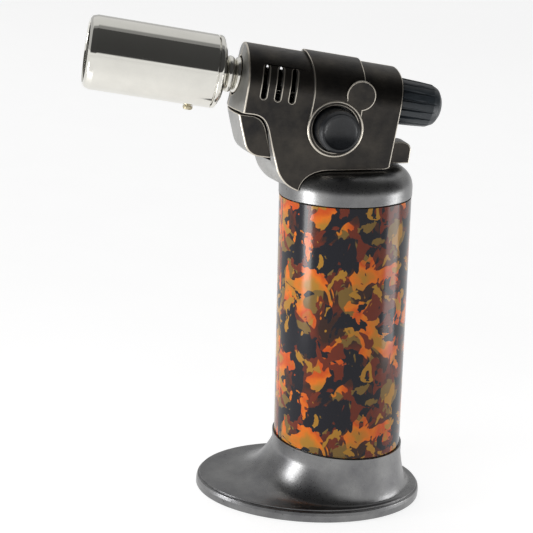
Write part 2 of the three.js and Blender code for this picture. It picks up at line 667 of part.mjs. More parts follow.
function tubeScrewHole(sides) {
  return turned(rodProfile(1.1, -14, -7), sides).translate(TUBE_SCREW_X, 0, 0);
}

function burnerTube() {
  const outline = [
    [BURNER_BORE, BURNER_REAR], [BURNER_RADIUS, BURNER_REAR], [BURNER_RADIUS, BURNER_MOUTH + 2.4],
    [10.5, BURNER_MOUTH + 0.8], [9.4, BURNER_MOUTH], [8.9, BURNER_MOUTH + 0.6], [9.7, BURNER_MOUTH + 1.4],
    [BURNER_BORE, BURNER_MOUTH + 2.8], [BURNER_BORE, BURNER_REAR],
  ];
  return cut(turnedX(outline, 32), tubeScrewHole(10));
}

function flameHolder() {
  const disc = turnedX(ringProfile(2.5, BURNER_BORE - GAP, -64.0, -61.4), 28);
  const holes = [];
  const count = 9;
  for (let i = 0; i < count; i += 1) {
    const angle = (2 * Math.PI * i) / count;
    const hole = turnedX(rodProfile(1.1, -66, -59), 8);
    holes.push(hole.translate(0, 6.4 * Math.sin(angle), 6.4 * Math.cos(angle)));
  }
  return cut(disc, ...holes);
}

const TUBE_SCREW = [
  [0, -12.4], [1.2, -12.4], [1.5, -12.0], [1.5, -11.3], [0.8, -11.3], [0.8, -8.9], [0, -8.9],
];
const ELECTRODE_ROUTE = [
  [-24.4, 0, 0], [-45, 0, 0], [-62, 0, 0], [-66, 0, 0.2], [-67.4, 0, 1.6], [-67.8, 0, 4.4],
];

add(head, "gas_jet", MATERIALS.brass, turnedX(JET, 18));
add(head, "mixer_tube", MATERIALS.chrome, mixerTube());
add(head, "burner_cap", MATERIALS.chrome, burnerCap());
add(head, "burner_tube", MATERIALS.chrome, burnerTube());
add(head, "flame_holder", MATERIALS.steel, flameHolder());
add(head, "tube_screw", MATERIALS.brass, turned(TUBE_SCREW, 14).translate(TUBE_SCREW_X, 0, 0));
add(head, "electrode_insulator", MATERIALS.ceramic, turnedX(ringProfile(0.65, 1.3, -60, -25.4), 14));
add(head, "electrode", MATERIALS.steel, bentRod(spline(ELECTRODE_ROUTE), 0.35, 6, 18));

// ---------- lock slide, behind the head ----------
function lockSlide() {
  const side = new THREE.Shape();
  side.moveTo(8.2, 110.4);
  side.lineTo(19.2, 110.4);
  side.lineTo(19.7, 114.6);
  side.quadraticCurveTo(19.6, 117.2, 16.2, 117.3);
  side.lineTo(8.2, 117.3);
  return plate(side.getPoints(5).map((point) => [point.x, point.y]), -3.5, 3.5);
}

add(body, "lock_slide", MATERIALS.gunmetal, lockSlide());

export default torch;
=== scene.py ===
"""A refillable table-top gas torch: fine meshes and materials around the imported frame.

Pieces are modelled in millimetres in one of three frames, level, tank or head, and then placed in metres.
"""

import json
import math

import bmesh
import bpy
from mathutils import Matrix, Vector


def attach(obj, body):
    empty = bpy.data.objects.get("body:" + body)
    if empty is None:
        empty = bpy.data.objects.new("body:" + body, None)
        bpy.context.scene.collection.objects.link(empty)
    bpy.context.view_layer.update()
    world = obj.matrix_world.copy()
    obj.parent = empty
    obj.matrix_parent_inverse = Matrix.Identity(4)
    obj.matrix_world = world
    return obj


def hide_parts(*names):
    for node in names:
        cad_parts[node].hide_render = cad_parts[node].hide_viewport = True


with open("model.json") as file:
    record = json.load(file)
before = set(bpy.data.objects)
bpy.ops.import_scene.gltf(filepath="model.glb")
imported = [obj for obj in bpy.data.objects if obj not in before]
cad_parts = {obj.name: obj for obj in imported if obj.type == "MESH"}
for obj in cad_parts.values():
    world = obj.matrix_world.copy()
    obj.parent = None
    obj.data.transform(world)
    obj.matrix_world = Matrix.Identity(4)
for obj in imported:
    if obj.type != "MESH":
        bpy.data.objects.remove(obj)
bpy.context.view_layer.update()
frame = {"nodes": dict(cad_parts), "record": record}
NODES = frame["nodes"]

# ---------- driving dimensions, in millimetres ----------
METRES = 0.001
GAP = 0.3
WALL = 2.0
TANK_X = 9.4
LEAN = math.radians(4.5)
PITCH = math.radians(9.3)
HEAD_HEIGHT = 132.0

LEVEL = Matrix.Identity(4)
TANK = Matrix.Translation((TANK_X, 0, 0)) @ Matrix.Rotation(-LEAN, 4, "Y")
HEAD = TANK @ Matrix.Translation((0, 0, HEAD_HEIGHT)) @ Matrix.Rotation(PITCH, 4, "Y")

FOOT_HALF_LENGTH = 37.5
FOOT_HALF_WIDTH = 27.0
FOOT_RIM = 4.2
RIM_WIDTH = 1.3  # from the disc's flat to the outside
FOOT_HOLLOW = 4.2  # how steeply the disc falls away from the cup
CUP_TOP = 19.1
CUP_LIP = 0.5  # depth of the close rings that keep the cup's edge crisp
CUP_FILLET_TOP = 15.5
CUP_RADIUS = 21.4
PAD_INSET = 4.5
PAD_THICKNESS = 1.2
WELL_RADIUS = 6.0

TANK_RADIUS = 20.0
TANK_BOTTOM = 6.3
SLEEVE_RADIUS = 20.75
SLEEVE_TOP = 100.4
SLEEVE_SEAM = math.radians(-171)  # where the printed film's ends meet
PRINT_REPEAT = 52.0  # the print repeats along the tank
UV_UNIT = 100.0  # one unit of the film's UV map around the tank

COLLAR_RADIUS = 20.9
COLLAR_SHOULDER = 103.5
COLLAR_FLAT = 14.5
COLLAR_TOP = 110.0
COLLAR_BORE = 7.5
COLLAR_SKIRT = 19.2  # inner radius of its lower edge

HALF_WIDTH = 12.0
ARCH_Z = -1.8
HEAD_FRONT = -33.4
HEAD_REAR = 13.8
NOSE_X = -12.0  # only what lies ahead of this is crowned and satin
FACE_LOW = -9.6
TOP_BULGE = 1.0  # how far the front face is crowned at its top
FACE_BULGE = 3.1  # and at its lower end
CHIN_BULGE = 4.4
BAND_HEIGHT = 0.8
DOT_RADIUS = 4.5
SLOTS = (-28.5, -24.2, -19.9)
SLOT_RADIUS = 0.8
SLOT_HALF_LENGTH = 4.1
TRIGGER_HALF_WIDTH = 9.6
TRIGGER_BULGE = 1.8
TRIGGER_WEDGE = 1.8  # half the width of the rod that works the valve
SCREW_SITES = ((9.6, -8.4), (-16.6, -21.6), (-27.6, -7.3))
SCREW_SHANK = 1.2
SCREW_HEAD = 2.6
SCREW_END = -7.9

BUTTON_X = -5.4
BUTTON_Z = -9.9
BUTTON_RADIUS = 6.3
BUTTON_FACE = -19.5
BUTTON_HOLE = 7.0
BUTTON_FLANGE = 8.0
FLANGE_FRONT = -9.6
FLANGE_BACK = -8.3
BUTTON_DISH = 4.6
BUTTON_RING = 8.6
BEZEL_HALF_WIDTH = 0.45
BEZEL_HEIGHT = 0.35

MIXER_RADIUS = 4.0
MIXER_BORE = 2.9
MIXER_REAR = -14.6
MIXER_MOUTH = -61.0
BEAD_RADIUS = 5.5
BEAD_PITCH = 2.7
FIRST_BEAD = -35.2
CAP_REAR = -40.0
BURNER_RADIUS = 11.0
BURNER_BORE = 10.2
BURNER_REAR = -42.7
BURNER_MOUTH = -80.7
DISC_FRONT = -64.0
DISC_REAR = -61.4
DISC_HOLES = 9
HOLE_CIRCLE = 6.4
HOLE_RADIUS = 1.1
TUBE_SCREW_X = -48.4
TUBE_SCREW_HOLE = 1.1

KNOB_FRONT = 14.6
KNOB_END = 29.6
KNOB_RIBS = 16
KNOB_RADIUS = 7.2
KNOB_HUB = 6.6
KNOB_BORE = 2.1

# ---------- the studio, in metres ----------
CAMERA_PLACE = (-0.10024, -0.37161, 0.17870)
CAMERA_YAW = math.radians(12)
CAMERA_PITCH = math.radians(15.22)
CAMERA_ROLL = math.radians(5.64)
CAMERA_LENS = 84.4
FLOOR_REACH = 40.0
FLOOR_GLOW = 0.78
ROOM_LIGHT = ((0.0, 0.05), (0.55, 0.07), (0.60, 0.50), (1.0, 0.56))  # from the near side to the far side
HORIZON_LIGHT = ((0.0, 0.95), (0.07, 0.95), (0.12, 0.0))  # from the horizon upwards


# ---------- mesh helpers ----------
def new_object(name, verts, faces):
    mesh = bpy.data.meshes.new(name)
    mesh.from_pydata([tuple(v) for v in verts], [], faces)
    obj = bpy.data.objects.new(name, mesh)
    bpy.context.scene.collection.objects.link(obj)
    turn_outwards(mesh)
    return obj


def turn_outwards(mesh):
    bm = bmesh.new()
    bm.from_mesh(mesh)
    bmesh.ops.remove_doubles(bm, verts=bm.verts, dist=1e-5)
    bmesh.ops.recalc_face_normals(bm, faces=bm.faces)
    bm.to_mesh(mesh)
    bm.free()


def rounded(points, closed=False, steps=5):
    """Points (a, b) or (a, b, fillet radius); each corner with a radius becomes an arc."""
    count = len(points)
    result = []
    for i, point in enumerate(points):
        corner = Vector(point[:2])
        radius = point[2] if len(point) > 2 else 0
        if radius == 0 or (not closed and i in (0, count - 1)):
            result.append(corner)
            continue
        before = Vector(points[i - 1][:2]) - corner
        after = Vector(points[(i + 1) % count][:2]) - corner
        angle = before.angle(after)
        reach = min(radius / math.tan(angle / 2), 0.48 * before.length, 0.48 * after.length)
        start = corner + before.normalized() * reach
        end = corner + after.normalized() * reach
        halfway = (before.normalized() + after.normalized()).normalized()
        middle = corner + halfway * (reach / math.cos(angle / 2))
        result.extend(arc_between(start, end, middle, steps))
    return [tuple(p) for p in result]


def arc_between(start, end, centre, steps):
    a = start - centre
    b = end - centre
    sweep = a.angle_signed(b)
    radius = a.length
    base = math.atan2(a.y, a.x)
    return [
        centre + radius * Vector((math.cos(base - sweep * i / steps), math.sin(base - sweep * i / steps)))
        for i in range(steps + 1)
    ]


def lathe(name, profile, axis="Z", segments=96, shape=None, closed=False):
    """Turns (radius, along) points about an axis. An open profile starts and ends on the axis."""
    verts = []
    rows = []
    for radius, along in profile:
        if radius < 1e-6:
            rows.append([len(verts)] * segments)
            verts.append((0, 0, along))
            continue
        rows.append(list(range(len(verts), len(verts) + segments)))
        for i in range(segments):
            angle = 2 * math.pi * i / segments
            r = shape(radius, along, angle) if shape else radius
            verts.append((r * math.cos(angle), r * math.sin(angle), along))
    pairs = list(zip(rows, rows[1:]))
    if closed:
        pairs.append((rows[-1], rows[0]))
    faces = []
    for low, high in pairs:
        for i in range(segments):
            j = (i + 1) % segments
            corners = list(dict.fromkeys([low[i], low[j], high[j], high[i]]))
            if len(corners) > 2:
                faces.append(corners)
    turn = {"Z": Matrix.Identity(4), "X": Matrix.Rotation(math.pi / 2, 4, "Y"),
            "Y": Matrix.Rotation(-math.pi / 2, 4, "X")}[axis]
    return new_object(name, [turn @ Vector(v) for v in verts], faces)


def rod(name, radius, low, high, axis, x=0, z=0, segments=64):
    obj = lathe(name, [(0, low), (radius, low), (radius, high), (0, high)], axis, segments)
    return shifted(obj, x, 0, z)


def shifted(obj, x, y, z):
    obj.data.transform(Matrix.Translation((x, y, z)))
    return obj


def moved(obj, matrix):
    obj.data.transform(matrix)
    return obj


def block(name, x0, x1, y0, y1, z0, z1):
    return plate(name, [(x0, z0), (x1, z0), (x1, z1), (x0, z1)], y0, y1)


def plate(name, outline, y0, y1):
    """An outline of (x, z) points pulled along Y."""
    count = len(outline)
    verts = [(x, y0, z) for x, z in outline] + [(x, y1, z) for x, z in outline]
    faces = [list(range(count)), list(range(2 * count - 1, count - 1, -1))]
    faces += [[i, (i + 1) % count, (i + 1) % count + count, i + count] for i in range(count)]
    return new_object(name, verts, faces)


def loft(name, rings):
    """Rings of equal length, joined in order, with the first and the last closed by one face each."""
    count = len(rings[0])
    verts = [v for ring in rings for v in ring]
    faces = [list(range(count)), list(range(len(verts) - 1, len(verts) - count - 1, -1))]
    for k in range(len(rings) - 1):
        for i in range(count):
            j = (i + 1) % count
            faces.append([k * count + i, k * count + j, (k + 1) * count + j, (k + 1) * count + i])
    return new_object(name, verts, faces)


def bezier(p0, p1, p2, p3, steps=12):
    points = []
    for i in range(1, steps + 1):
        t = i / steps
        weights = ((1 - t) ** 3, 3 * t * (1 - t) ** 2, 3 * t * t * (1 - t), t ** 3)
        points.append(tuple(sum(w * p[k] for w, p in zip(weights, (p0, p1, p2, p3))) for k in (0, 1)))
    return points


def quadratic(p0, p1, p2, steps=10):
    first = tuple(p0[k] + 2 / 3 * (p1[k] - p0[k]) for k in (0, 1))
    second = tuple(p2[k] + 2 / 3 * (p1[k] - p2[k]) for k in (0, 1))
    return bezier(p0, first, second, p2, steps)


def bake(obj):
    """Applies the object's modifiers."""
    graph = bpy.context.evaluated_depsgraph_get()
    graph.update()
    mesh = bpy.data.meshes.new_from_object(obj.evaluated_get(graph))
    old = obj.data
    obj.modifiers.clear()
    obj.data = mesh
    bpy.data.meshes.remove(old)
    return obj


def combine(obj, operation, *tools):
    for tool in tools:
        modifier = obj.modifiers.new("combine", "BOOLEAN")
        modifier.operation = operation
        modifier.solver = "MANIFOLD"
        modifier.object = tool
        bake(obj)
        bpy.data.objects.remove(tool)
    return obj


def copy_of(obj, name):
    twin = obj.copy()
    twin.data = obj.data.copy()
    twin.name = name
    bpy.context.scene.collection.objects.link(twin)
    return twin


def tidy_faces(obj):
    """Merges what the cuts left: corners that touch, faces in one plane, and corners on a straight edge."""
    bm = bmesh.new()
    bm.from_mesh(obj.data)
    bmesh.ops.remove_doubles(bm, verts=bm.verts, dist=0.05)
    bmesh.ops.dissolve_degenerate(bm, dist=0.01, edges=bm.edges)
    bmesh.ops.dissolve_limit(bm, angle_limit=math.radians(0.6), verts=bm.verts, edges=bm.edges)
    bm.to_mesh(obj.data)
    bm.free()


def mark_edges(obj, angle, wanted):
    """Weights the sharp edges that stand outwards, where wanted(middle of the edge) holds."""
    bm = bmesh.new()
    bm.from_mesh(obj.data)
    weight = bm.edges.layers.float.new("bevel_weight_edge")
    for edge in bm.edges:
        if len(edge.link_faces) != 2 or not edge.is_convex or edge.calc_face_angle() < angle:
            continue
        if wanted(edge.verts[0].co.lerp(edge.verts[1].co, 0.5)):
            edge[weight] = 1.0
    bm.to_mesh(obj.data)
    bm.free()


def soften(obj, width, segments=2, angle=32, bright=True, wanted=lambda middle: True):
    """Rounds the outer edges. With bright, the rounded strips take the object's second material, a pale
    metal that stands for worn plating and is also a painted highlight on every rounded edge.
    """
    tidy_faces(obj)
    mark_edges(obj, math.radians(angle), wanted)
    obj.data.materials.clear()
    for _ in ("skin", "worn edge and painted highlight", "front"):
        obj.data.materials.append(None)
    modifier = obj.modifiers.new("soften", "BEVEL")
    modifier.width = width
    modifier.segments = segments
    modifier.limit_method = "WEIGHT"
    modifier.miter_outer = "MITER_ARC"
    modifier.use_clamp_overlap = False
    # the rounded strips take the pale edge metal: worn plating and a painted highlight
    modifier.material = 1 if bright else -1
    return bake(obj)


def silver_front(obj):
    """The faces that look forwards take the object's third material."""
    for polygon in obj.data.polygons:
        forwards = polygon.normal.x < -0.5
        if polygon.material_index == 0 and forwards and polygon.center.x < NOSE_X:
            polygon.material_index = 2


def place(obj, matrix, body, slot, nodes, *materials, smooth_angle=35):
    """Puts a finished piece into the frame, on its body, for the nodes that it stands for."""
    obj.data.transform(Matrix.Scale(METRES, 4) @ matrix)
    for polygon in obj.data.polygons:
        polygon.use_smooth = True
    obj.data.set_sharp_from_angle(angle=math.radians(smooth_angle))
    weighted = obj.modifiers.new("flat_faces", "WEIGHTED_NORMAL")
    weighted.keep_sharp = True
    index = [polygon.material_index for polygon in obj.data.polygons]
    obj.data.materials.clear()
    for material in materials:
        obj.data.materials.append(material)
    for polygon, slot_index in zip(obj.data.polygons, index):
        polygon.material_index = min(slot_index, len(materials) - 1)
    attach(obj, body)
    if nodes:
        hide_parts(*nodes)
    return obj


# ---------- material helpers ----------
class Shader:
    """A small wrapper that adds nodes to one material and links them."""

    def __init__(self, name, color, roughness, metallic=0.0, **sockets):
        self.material = bpy.data.materials.new(name)
        self.material.use_nodes = True
        self.tree = self.material.node_tree
        self.bsdf = self.tree.nodes["Principled BSDF"]
        self.bsdf.inputs["Base Color"].default_value = (*color, 1)
        self.bsdf.inputs["Roughness"].default_value = roughness
        self.bsdf.inputs["Metallic"].default_value = metallic
        for key, value in sockets.items():
            self.bsdf.inputs[key.replace("_", " ")].default_value = value

    def node(self, kind, links=None, **settings):
        made = self.tree.nodes.new(kind)
        for key, value in settings.items():
            setattr(made, key, value)
        for key, value in (links or {}).items():
            if isinstance(value, bpy.types.NodeSocket):
                self.tree.links.new(value, made.inputs[key])
            else:
                made.inputs[key].default_value = value
        return made

    def position(self, scale=(1, 1, 1)):
        """The piece's own position in millimetres, stretched by scale."""
        coords = self.node("ShaderNodeTexCoord").outputs["Object"]
        size = [s / METRES for s in scale]
        return self.node("ShaderNodeMapping", {"Vector": coords, "Scale": size}).outputs["Vector"]

    def noise(self, vector, scale, detail=4.0, roughness=0.5, distortion=0.0):
        links = {"Vector": vector, "Scale": scale, "Detail": detail, "Roughness": roughness,
                 "Distortion": distortion}
        return self.node("ShaderNodeTexNoise", links).outputs["Fac"]

    def ramp(self, factor, *stops):
        """Each stop is (place, color or level)."""
        made = self.node("ShaderNodeValToRGB", {"Fac": factor})
        elements = made.color_ramp.elements
        while len(elements) < len(stops):
            elements.new(1.0)
        for element, (at, color) in zip(elements, stops):
            element.position = at
            element.color = (*color, 1) if isinstance(color, tuple) else (color, color, color, 1)
        return made.outputs["Color"]

    def mix(self, factor, first, second):
        """Factor 0 gives first."""
        made = self.node("ShaderNodeMix", data_type="RGBA")
        for index, value in ((0, factor), (6, first), (7, second)):
            if isinstance(value, bpy.types.NodeSocket):
                self.tree.links.new(value, made.inputs[index])
            else:
                made.inputs[index].default_value = (*value, 1) if isinstance(value, tuple) else value
        return made.outputs[2]

    def set(self, key, socket):
        self.tree.links.new(socket, self.bsdf.inputs[key])

    def bump(self, height, strength, distance):
        links = {"Height": height, "Strength": strength, "Distance": distance * METRES}
        self.set("Normal", self.node("ShaderNodeBump", links).outputs["Normal"])


def cast_metal(name, dark, light, roughness, speck):
    """Plated casting: cloudy tone, fine grain, and a few dark specks."""
    shader = Shader(name, light, roughness, 1.0)
    cloud = shader.noise(shader.position(), 0.09, 5, 0.6)
    tone = shader.ramp(cloud, (0.35, dark), (0.68, light))
    spots = shader.noise(shader.position(), 0.9, 2, 0.5)
    shader.set("Base Color", shader.mix(shader.ramp(spots, (0.22, 1.0), (0.27, 0.0)), tone, speck))
    grain = shader.noise(shader.position(), 2.6, 3, 0.6)
    shader.set("Roughness", shader.ramp(grain, (0.3, roughness - 0.06), (0.7, roughness + 0.08)))
    shader.bump(grain, 0.25, 0.04)
    return shader.material


def brushed_metal(name, dark, light, roughness):
    """Gunmetal plate with faint brush lines along the head and cloudy wear."""
    shader = Shader(name, light, roughness, 1.0)
    cloud = shader.noise(shader.position(), 0.12, 5, 0.6)
    lines = shader.noise(shader.position((0.25, 1.0, 4.0)), 1.6, 3, 0.6)
    shader.set("Base Color", shader.ramp(cloud, (0.3, dark), (0.72, light)))
    shader.set("Roughness", shader.ramp(lines, (0.3, roughness - 0.07), (0.7, roughness + 0.1)))
    skin = shader.noise(shader.position(), 1.7, 4, 0.65)
    shader.bump(skin, 0.5, 0.08)
    return shader.material


def polished_metal(name, color, roughness):
    """Polished metal with faint smears in its gloss."""
    shader = Shader(name, color, roughness, 1.0)
    smear = shader.noise(shader.position(), 0.15, 5, 0.65)
    shader.set("Roughness", shader.ramp(smear, (0.4, roughness), (0.75, roughness + 0.06)))
    shade = tuple(c * 0.93 for c in color)
    shader.set("Base Color", shader.ramp(smear, (0.35, color), (0.75, shade)))
    return shader.material


def turned_metal(name, color, roughness):
    shader = Shader(name, color, roughness, 1.0)
    marks = shader.noise(shader.position((3, 1, 1)), 2.0, 3, 0.6)
    shade = tuple(c * 0.75 for c in color)
    shader.set("Base Color", shader.ramp(marks, (0.3, shade), (0.7, color)))
    shader.bump(marks, 0.15, 0.03)
    return shader.material


def moulded(name, color, roughness, grain=0.2):
    """Moulded plastic, rubber or ceramic with a fine texture and slight variation in tone."""
    shader = Shader(name, color, roughness)
    fine = shader.noise(shader.position(), 4.0, 3, 0.6)
    cloud = shader.noise(shader.position(), 0.3, 4, 0.6)
    shade = tuple(min(1.0, c * 1.35 + 0.004) for c in color)
    shader.set("Base Color", shader.ramp(cloud, (0.35, color), (0.7, shade)))
    shader.set("Roughness", shader.ramp(fine, (0.3, roughness - 0.08), (0.7, roughness + 0.08)))
    shader.bump(fine, grain, 0.03)
    return shader.material


def print_coordinates(shader):
    """The film's UV map as a point that goes round a circle, so that the print repeats along the tank."""
    uv = shader.node("ShaderNodeTexCoord").outputs["UV"]
    parts = shader.node("ShaderNodeSeparateXYZ", {"Vector": uv})
    along = {0: parts.outputs["Y"], 1: 2 * math.pi}
    turn = shader.node("ShaderNodeMath", along, operation="MULTIPLY").outputs[0]
    radius = PRINT_REPEAT / (2 * math.pi)
    circle = []
    for operation in ("COSINE", "SINE"):
        wave = shader.node("ShaderNodeMath", {0: turn}, operation=operation).outputs[0]
        circle.append(shader.node("ShaderNodeMath", {0: wave, 1: radius}, operation="MULTIPLY").outputs[0])
    across = {0: parts.outputs["X"], 1: UV_UNIT}
    around = shader.node("ShaderNodeMath", across, operation="MULTIPLY").outputs[0]
    return shader.node("ShaderNodeCombineXYZ", {0: around, 1: circle[0], 2: circle[1]}).outputs["Vector"]


def printed_film():
    """Glossy film printed with overlapping patches. Each layer hides part of the ones before it."""
    shader = Shader("printed_film", (0.3, 0.1, 0.03), 0.17, Specular_IOR_Level=0.3)
    where = print_coordinates(shader)
    navy, brown, rust = (0.003, 0.003, 0.008), (0.030, 0.009, 0.004), (0.13, 0.016, 0.003)
    tan, mustard = (0.17, 0.098, 0.018), (0.36, 0.17, 0.014)
    orange, flame = (0.52, 0.060, 0.001), (0.66, 0.15, 0.003)
    glow = shader.noise(where, 0.09, 3, 0.5)
    fire = shader.ramp(glow, (0.36, mustard), (0.44, orange), (0.55, flame), (0.66, mustard))
    earth = shader.ramp(glow, (0.42, rust), (0.58, brown))
    stretch = (1.65, 1.25, 1.25)  # makes the patches taller than they are wide
    blur = 0.003  # half the soft edge of a patch
    layers = (  # place in the noise, noise scale, noise level where patches start, color
        ((0, 0, 0), 0.052, 0.49, earth),
        ((57, 19, 31), 0.060, 0.545, tan),
        ((131, 43, 11), 0.055, 0.52, fire),
        ((211, 7, 59), 0.068, 0.56, navy),
        ((83, 5, 149), 0.095, 0.60, rust),
        ((29, 167, 3), 0.105, 0.61, mustard),
    )
    color = navy
    for offset, scale, level, tint in layers:
        shift = shader.node("ShaderNodeMapping", {"Vector": where, "Location": offset, "Scale": stretch})
        patch = shader.noise(shift.outputs["Vector"], scale, 3, 0.5, 0.8)
        edge = shader.ramp(patch, (level - blur, 0.0), (level + blur, 1.0))
        color = shader.mix(edge, color, tint)
    shader.set("Base Color", color)
    return shader.material


CAST = cast_metal("cast_nickel", (0.155, 0.155, 0.160), (0.25, 0.25, 0.248), 0.31, (0.04, 0.04, 0.04))
GUNMETAL = brushed_metal("gunmetal", (0.032, 0.031, 0.031), (0.078, 0.070, 0.060), 0.35)
# pale metal for the rounded edges and the button's ring; on the edges it is worn plating and also a painted
# highlight, bright whether light falls there or not
POLISHED_AND_HIGHLIGHT = polished_metal("polished_edge_and_highlight", (0.66, 0.61, 0.53), 0.32)
FRONT = cast_metal("satin_front", (0.33, 0.33, 0.325), (0.44, 0.435, 0.42), 0.45, (0.12, 0.12, 0.12))
CHROME = polished_metal("chrome", (0.76, 0.745, 0.69), 0.05)
PRINT = printed_film()
BLACK = moulded("black_plastic", (0.006, 0.007, 0.009), 0.34)
KNOB = moulded("knob_plastic", (0.014, 0.019, 0.024), 0.42)
RUBBER = moulded("rubber", (0.012, 0.012, 0.012), 0.8, 0.4)
BRASS = turned_metal("brass", (0.62, 0.44, 0.20), 0.28)
PALE_BRASS = turned_metal("pale_brass", (0.60, 0.54, 0.38), 0.28)
STEEL = turned_metal("steel", (0.50, 0.50, 0.50), 0.3)
ALLOY = turned_metal("tank_alloy", (0.62, 0.63, 0.64), 0.4)
RESIN = moulded("resin", (0.60, 0.56, 0.46), 0.45)
LEAD = moulded("lead_sleeve", (0.010, 0.010, 0.011), 0.5)
CERAMIC = moulded("ceramic", (0.78, 0.76, 0.70), 0.6, 0.3)
BY_SLOT = {
    "cast_nickel": CAST, "gunmetal": GUNMETAL, "chrome": CHROME, "printed_film": PRINT,
    "black_plastic": BLACK, "knob_plastic": KNOB, "rubber": RUBBER, "brass": BRASS, "steel": STEEL,
    "tank_alloy": ALLOY, "resin": RESIN, "lead_sleeve": LEAD, "ceramic": CERAMIC,
}


def finish_cad_nodes():
    """Every node of the frame takes the material of its slot."""
    for entry in frame["record"]["subparts"]:
        node = NODES[entry["node"]]
        node.data.materials.clear()
        node.data.materials.append(BY_SLOT[entry["material_slot"]])


# ---------- foot ----------
def rim_ring(inset, z, sides=144):
    """The rim's ellipse, moved in by inset."""
    a = FOOT_HALF_LENGTH - inset
    b = FOOT_HALF_WIDTH - inset
    angles = [2 * math.pi * i / sides for i in range(sides)]
    return [(a * math.cos(angle), b * math.sin(angle), z) for angle in angles]


def foot_ring(outwards, z, sides=144):
    """A ring of the disc's upper side: the leaning cup's circle at 0, and the rim's ellipse at 1."""
    cup_x = TANK_X - z * math.tan(LEAN)
    ring = []
    for i, (x, y, _) in enumerate(rim_ring(RIM_WIDTH, z, sides)):
        angle = 2 * math.pi * i / sides
        cup = Vector((cup_x + CUP_RADIUS * math.cos(angle), CUP_RADIUS * math.sin(angle)))
        spot = cup.lerp(Vector((x, y)), outwards)
        ring.append((spot.x, spot.y, z))
    return ring


def pad_shape(name, inset, low, high):
    return loft(name, [rim_ring(inset, z, 96) for z in (low, high)])


def make_foot():
    lip = [CUP_TOP - CUP_LIP * (1 - math.sin(math.pi / 2 * i / 4)) for i in range(4, -1, -1)]
    rings = [foot_ring(0.0, z) for z in lip + [CUP_FILLET_TOP]]
    steps = 31
    for i in range(1, steps + 1):
        outwards = i / steps
        drop = (1 - outwards) ** FOOT_HOLLOW
        rings.append(foot_ring(outwards, FOOT_RIM + (CUP_FILLET_TOP - FOOT_RIM) * drop))
    rim = rounded([(RIM_WIDTH, FOOT_RIM), (0.85, FOOT_RIM - 0.05, 0.2), (0.95, 3.62, 0.1), (0.3, 3.5, 0.5),
                   (0.0, 2.3, 0.9), (0.0, 0.0, 0.7), (2.2, 0.0)], steps=6)
    rings += [rim_ring(inset, z) for inset, z in rim[1:]]
    foot = loft("foot_casting", rings)
    socket = moved(rod("socket", TANK_RADIUS + GAP, TANK_BOTTOM - GAP, 40, "Z", segments=128), TANK)
    well = moved(rod("well", WELL_RADIUS, -5, 12, "Z"), TANK)
    recess = pad_shape("recess", PAD_INSET - GAP, -0.01, PAD_THICKNESS + GAP)
    combine(foot, "DIFFERENCE", socket, well, recess)
    place(foot, LEVEL, "housing", "cast_nickel", ["foot"], CAST)


def make_foot_pad():
    pad = pad_shape("foot_pad_rubber", PAD_INSET, 0.0, PAD_THICKNESS)
    combine(pad, "DIFFERENCE", rod("pad_well", WELL_RADIUS + GAP, -1, 4, "Z", x=TANK_X))
    soften(pad, 0.25, bright=False)
    place(pad, LEVEL, "housing", "rubber", ["foot_pad"], RUBBER)


# ---------- tank ----------
def make_sleeve():
    """The film's tube. Its lower end is trimmed level, and its UV map unrolls it."""
    sides = 192
    rows = 48
    verts = []
    for row in range(rows + 1):
        for i in range(sides + 1):
            angle = SLEEVE_SEAM + 2 * math.pi * i / sides
            x = SLEEVE_RADIUS * math.cos(angle)
            low = (CUP_TOP + GAP - x * math.sin(LEAN)) / math.cos(LEAN)
            z = low + (SLEEVE_TOP - low) * row / rows
            verts.append((x, SLEEVE_RADIUS * math.sin(angle), z))
    width = sides + 1
    faces = [[r * width + i, r * width + i + 1, (r + 1) * width + i + 1, (r + 1) * width + i]
             for r in range(rows) for i in range(sides)]
    mesh = bpy.data.meshes.new("printed_tube")
    mesh.from_pydata(verts, [], faces)
    around = 2 * math.pi * SLEEVE_RADIUS / UV_UNIT
    layer = mesh.uv_layers.new(name="unrolled")
    for loop in mesh.loops:
        column = loop.vertex_index % width
        layer.data[loop.index].uv = (around * column / sides, verts[loop.vertex_index][2] / PRINT_REPEAT)
    sleeve = bpy.data.objects.new("printed_tube", mesh)
    bpy.context.scene.collection.objects.link(sleeve)
    bm = bmesh.new()
    bm.from_mesh(mesh)
    bmesh.ops.remove_doubles(bm, verts=bm.verts, dist=1e-5)
    bm.to_mesh(mesh)
    bm.free()
    thick = sleeve.modifiers.new("thickness", "SOLIDIFY")
    thick.thickness = SLEEVE_RADIUS - TANK_RADIUS - GAP
    thick.offset = -1
    bake(sleeve)
    place(sleeve, TANK, "housing", "printed_film", ["printed_sleeve"], PRINT, smooth_angle=50)


def make_collar():
    shoulder = [
        (COLLAR_FLAT + (COLLAR_RADIUS - COLLAR_FLAT) * math.cos(a),
         COLLAR_SHOULDER + (COLLAR_TOP - COLLAR_SHOULDER) * math.sin(a))
        for a in (math.pi / 2 * i / 24 for i in range(25))
    ]
    low = SLEEVE_TOP + GAP
    ceiling = COLLAR_TOP - 2.2
    edge = rounded([(COLLAR_SKIRT, low), (COLLAR_RADIUS, low, 0.35), (COLLAR_RADIUS, COLLAR_SHOULDER)])
    inside = [(COLLAR_BORE, COLLAR_TOP), (COLLAR_BORE, ceiling), (COLLAR_FLAT, ceiling), (17.6, 106.0),
              (COLLAR_SKIRT, 103.2)]
    collar = lathe("collar_casting", edge[:-1] + shoulder + inside, segments=160, closed=True)
    place(collar, TANK, "housing", "cast_nickel", ["collar"], CAST)


# ---------- head ----------
def arch(name, extra, x0, x1):
    """The head's arched section, grown by extra and pulled along the burner's axis."""
    half = HALF_WIDTH + extra
    steps = 72
    section = [(-half, -40), (half, -40)]
    section += [(half * math.cos(math.pi * i / steps), ARCH_Z + half * math.sin(math.pi * i / steps))
                for i in range(steps + 1)]
    return loft(name, [[(x, y, z) for y, z in section] for x in (x0, x1)])


